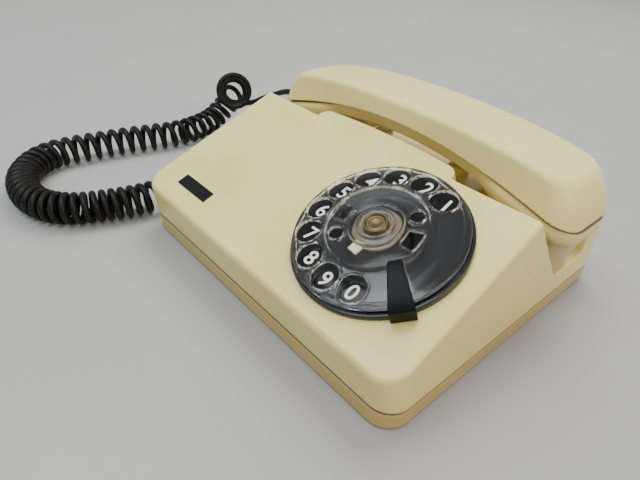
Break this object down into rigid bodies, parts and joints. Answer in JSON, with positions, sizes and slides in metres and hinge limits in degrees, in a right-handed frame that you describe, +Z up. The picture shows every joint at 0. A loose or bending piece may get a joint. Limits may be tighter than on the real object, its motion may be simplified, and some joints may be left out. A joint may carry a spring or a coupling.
{
  "type": "rotary telephone",
  "caption": "Cream desk telephone with a sloping top, a clear rotary finger wheel with digits, a handset across the rear and a black curly cord.",
  "frame": {"origin": "on the table under the middle of the housing's footprint", "axes": "+X to the user's right, along the handset; +Y towards the rear; +Z up"},
  "size_m": [0.3122, 0.2377, 0.0865],
  "materials": {
    "housing_cream": "satin moulded plastic",
    "pan_tan": "moulded plastic, a little yellower than the housing",
    "black_plastic": "glossy moulded plastic",
    "black_rubber": "matte",
    "clear_plastic": "clear moulded acrylic",
    "brass": "polished",
    "steel": "zinc plated",
    "paper_board": "bare laminate",
    "copper": "wound wire under tape",
    "blue_case": "film capacitor",
    "ivory_plastic": "moulded nylon"
  },
  "bodies": {
    "housing_body": {"housing": "housing_cream", "base_pan": "pan_tan", "badge_plate": "black_plastic", "dial_case": "black_plastic", "number_plate": "black_plastic", "finger_stop": "black_plastic", "cord_strand_handset": "black_plastic", "cord_coil": "black_plastic", "cord_strand_housing": "black_plastic", "foot_front_left": "black_rubber", "foot_front_right": "black_rubber", "foot_rear_left": "black_rubber", "foot_rear_right": "black_rubber", "cord_gland": "black_rubber", "line_cord_inlet": "black_rubber", "pulse_contact_block": "black_rubber", "switch_contact_block": "black_rubber", "terminal_block": "ivory_plastic", "pulse_contact_1": "brass", "pulse_contact_2": "brass", "switch_contact_fixed": "brass", "gong_left": "brass", "gong_right": "brass", "housing_screw_1": "steel", "housing_screw_2": "steel", "housing_screw_3": "steel", "housing_screw_4": "steel", "dial_frame": "steel", "return_spring": "steel", "governor_drum": "steel", "hook_spring": "steel", "switch_bracket": "steel", "ringer_plate": "steel", "gong_screw_1": "steel", "gong_screw_2": "steel", "ringer_core": "steel", "clapper_pivot": "steel", "circuit_board": "paper_board", "transformer": "copper", "ringer_coil": "copper", "capacitor": "blue_case"},
    "finger_wheel_body": {"finger_wheel": "clear_plastic", "wheel_clamp": "ivory_plastic", "centre_cap": "brass", "dial_shaft": "steel", "main_gear": "brass", "pulse_cam": "ivory_plastic"},
    "governor_body": {"governor_rotor": "brass"},
    "handset_body": {"handset_upper_shell": "housing_cream", "handset_lower_shell": "housing_cream", "transmitter_capsule": "steel", "receiver_capsule": "steel", "handset_screw_1": "steel", "handset_screw_2": "steel", "handset_cord_bush": "black_rubber"},
    "hook_body": {"hook_plunger_left": "ivory_plastic", "hook_plunger_right": "ivory_plastic", "hook_crossbar": "ivory_plastic", "switch_contact_moving": "brass"},
    "clapper_body": {"clapper": "steel"}
  },
  "joints": [
    {"name": "finger_wheel_turn", "type": "hinge", "parent": "housing_body", "child": "finger_wheel_body", "pos_m": [0.0451, -0.0455, 0.0494], "axis": [0, 0.4115, -0.9114], "range_deg": [0, 307], "stiffness_Nm_per_rad": 0.004, "springref_deg": -85.94},
    {"name": "governor_spin", "type": "hinge", "parent": "housing_body", "child": "governor_body", "pos_m": [0.02654, -0.02858, 0.05704], "axis": [0, 0.4115, -0.9114], "range_deg": [-1230, 0]},
    {"name": "handset_lift", "type": "slide", "parent": "housing_body", "child": "handset_body", "axis": [0, 0, 1], "range_m": [0, 0.06]},
    {"name": "hook_switch", "type": "slide", "parent": "housing_body", "child": "hook_body", "axis": [0, 0, 1], "range_m": [0, 0.006], "stiffness_N_per_m": 60, "springref_m": 0.012, "deforming": ["hook_spring"]},
    {"name": "clapper_swing", "type": "hinge", "parent": "housing_body", "child": "clapper_body", "pos_m": [-0.042, -0.004, 0.018], "axis": [0, 0, 1], "range_deg": [-7, 7]}
  ],
  "couplings": [
    {"joint": "governor_spin", "follows": "finger_wheel_turn", "ratio": -4},
    {"joint": "hook_switch", "follows": "handset_lift", "ratio": 0.1}
  ]
}
